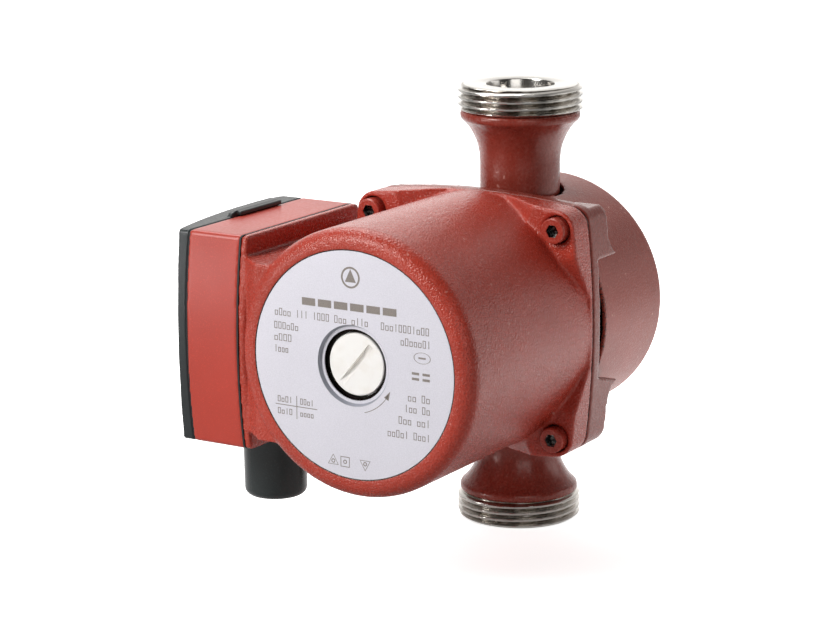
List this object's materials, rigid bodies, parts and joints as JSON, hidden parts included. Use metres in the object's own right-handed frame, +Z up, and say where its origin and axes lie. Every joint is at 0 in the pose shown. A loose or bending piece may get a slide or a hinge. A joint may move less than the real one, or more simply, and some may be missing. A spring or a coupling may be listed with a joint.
{
  "type": "circulator pump",
  "caption": "Glandless inline circulator pump for heating systems: canned motor, flared pump housing with threaded union ends, and a side terminal box.",
  "frame": {"origin": "the crossing of the port axis and the shaft axis, inside the pump housing", "axes": "+Z up along the port axis from inlet to outlet, -Y towards the nameplate, terminal box on the -X side"},
  "size_m": [0.1213, 0.133, 0.15],
  "materials": {
    "painted_housing": "satin red-brown enamel on cast metal",
    "painted_drum": "satin red-brown enamel on pressed steel",
    "painted_casing": "textured red enamel on die-cast aluminium",
    "painted_screws": "red enamel over steel socket screws",
    "stainless_turned": "turned stainless steel",
    "stainless_pressed": "pressed stainless sheet",
    "stainless_shaft": "ground steel",
    "nickel_plug": "bright nickel plated brass, fine facing marks",
    "zinc_screw": "zinc plated steel",
    "label_foil": "matt lilac-grey printed foil",
    "box_red": "smooth satin red moulding",
    "cover_black": "fine-textured slate black moulding",
    "gland_black": "satin black nylon",
    "rubber_black": "black EPDM",
    "ceramic": "polished alumina ceramic",
    "carbon": "carbon graphite",
    "lamination": "stacked electrical steel laminations",
    "end_ring_aluminium": "cast aluminium",
    "copper_winding": "enamelled copper wire",
    "impeller_plastic": "glass-filled composite",
    "terminal_plastic": "light grey polyamide",
    "capacitor_case": "cream moulded case",
    "lead_insulation": "PVC wire insulation"
  },
  "bodies": {
    "pump_body": {"pump_housing": "painted_housing", "housing_drum": "painted_drum", "inlet_union": "stainless_turned", "outlet_union": "stainless_turned", "motor_casing": "painted_casing", "nameplate": "label_foil", "flange_screws": "painted_screws", "housing_gasket": "rubber_black", "bearing_plate": "stainless_pressed", "rear_bearing": "ceramic", "front_bearing": "ceramic", "front_bearing_plate": "stainless_pressed", "rotor_can": "stainless_pressed", "wear_ring": "stainless_pressed", "stator_core": "lamination", "stator_windings": "copper_winding", "box_gasket": "rubber_black", "terminal_box": "box_red", "terminal_block": "terminal_plastic", "terminal_screws": "zinc_screw", "capacitor": "capacitor_case", "capacitor_clip": "zinc_screw", "earth_screw": "zinc_screw", "box_screws": "zinc_screw", "lead_grommet": "rubber_black", "motor_leads": "lead_insulation", "gland_seal": "rubber_black"},
    "rotor": {"shaft": "stainless_shaft", "rotor_core": "lamination", "rotor_end_rings": "end_ring_aluminium", "thrust_bearing": "carbon", "impeller": "impeller_plastic", "impeller_clip": "stainless_shaft"},
    "vent_seal": {"vent_seal": "rubber_black"},
    "vent_plug": {"vent_plug": "nickel_plug"},
    "terminal_cover": {"terminal_cover": "cover_black", "cover_gasket": "rubber_black", "cover_screw": "zinc_screw"},
    "gland_washer": {"gland_washer": "stainless_pressed"},
    "gland_nut": {"gland_nut": "gland_black"}
  },
  "joints": [
    {"name": "rotor_spin", "type": "hinge", "parent": "pump_body", "child": "rotor", "pos_m": [0, -0.06, 0], "axis": [0, 1, 0], "continuous": true},
    {"name": "vent_lift", "type": "slide", "parent": "pump_body", "child": "vent_seal", "axis": [0, -1, 0], "range_m": [0, 0.006]},
    {"name": "vent_turn", "type": "hinge", "parent": "vent_seal", "child": "vent_plug", "pos_m": [0, -0.1, 0], "axis": [0, -1, 0], "range_deg": [0, 1440]},
    {"name": "cover_lift", "type": "slide", "parent": "pump_body", "child": "terminal_cover", "axis": [-1, 0, 0], "range_m": [0, 0.03]},
    {"name": "gland_travel", "type": "slide", "parent": "pump_body", "child": "gland_washer", "axis": [0, 0, -1], "range_m": [0, 0.0075]},
    {"name": "gland_turn", "type": "hinge", "parent": "gland_washer", "child": "gland_nut", "pos_m": [-0.0593, -0.062, -0.05], "axis": [0, 0, -1], "range_deg": [0, 1800]}
  ],
  "couplings": [
    {"joint": "vent_lift", "follows": "vent_turn", "m_per_rad": 0.00023873},
    {"joint": "gland_travel", "follows": "gland_turn", "m_per_rad": 0.00023873}
  ]
}
